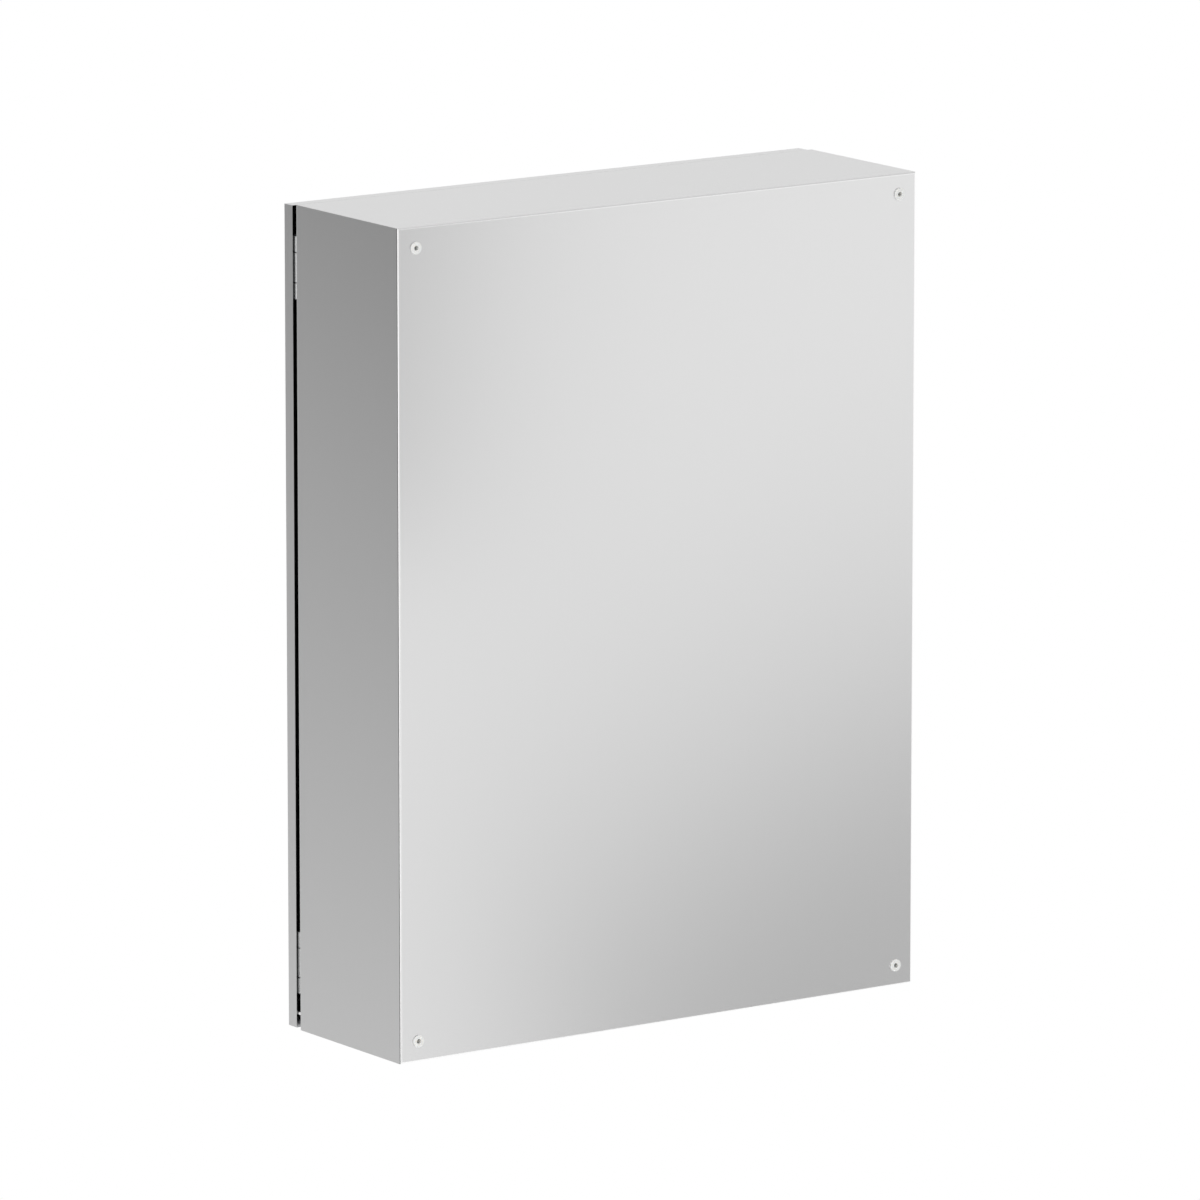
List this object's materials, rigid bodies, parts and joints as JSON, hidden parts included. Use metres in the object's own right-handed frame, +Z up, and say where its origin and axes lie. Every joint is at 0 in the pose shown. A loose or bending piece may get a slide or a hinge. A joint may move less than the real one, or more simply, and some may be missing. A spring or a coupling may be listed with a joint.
{
  "type": "medicine cabinet with mirror",
  "caption": "Wall-hung satin steel medicine cabinet with a hinged mirror door, glass shelves on slotted rails, a magnetic catch and corner bushes for wall screws.",
  "frame": {"origin": "on the wall, midway between the four wall screws", "axes": "+X to the right of a person facing the door, -Y out of the door, +Z up"},
  "size_m": [0.45, 0.1462, 0.6],
  "materials": {
    "satin_steel": "satin, grain upright",
    "bright_steel": "plain stainless",
    "white_nylon": "moulded",
    "mirror": "silvered float glass",
    "shelf_glass": "polished float glass",
    "foam_tape": "closed-cell foam",
    "clear_silicone": "clear silicone",
    "ferrite": "ground ferrite",
    "buffer_rubber": "soft white"
  },
  "bodies": {
    "cabinet": {"case_shell": "satin_steel", "wall_bushes": "white_nylon", "shelf_rail_left_rear": "satin_steel", "shelf_rail_left_front": "satin_steel", "shelf_rail_right_rear": "satin_steel", "shelf_rail_right_front": "satin_steel", "shelf_clips": "bright_steel", "shelf_pads": "clear_silicone", "shelf_lower": "shelf_glass", "shelf_upper": "shelf_glass", "hinge_upper_case_leaf": "bright_steel", "hinge_lower_case_leaf": "bright_steel", "hinge_upper_pin": "bright_steel", "hinge_lower_pin": "bright_steel", "hinge_case_rivets": "bright_steel", "catch_bracket": "satin_steel", "catch_housing": "white_nylon", "catch_magnet": "ferrite", "catch_pole_plates": "bright_steel", "catch_screws": "bright_steel", "door_buffers": "buffer_rubber"},
    "door": {"door_tray": "satin_steel", "mirror_glass": "mirror", "mirror_tape_strips": "foam_tape", "hinge_upper_door_leaf": "bright_steel", "hinge_lower_door_leaf": "bright_steel", "hinge_door_rivets": "bright_steel", "strike_plate": "bright_steel", "strike_screws": "bright_steel"}
  },
  "joints": [
    {"name": "door_swing", "type": "hinge", "parent": "cabinet", "child": "door", "pos_m": [0.2232, -0.1332, 0], "axis": [0, 0, 1], "range_deg": [0, 105]}
  ]
}
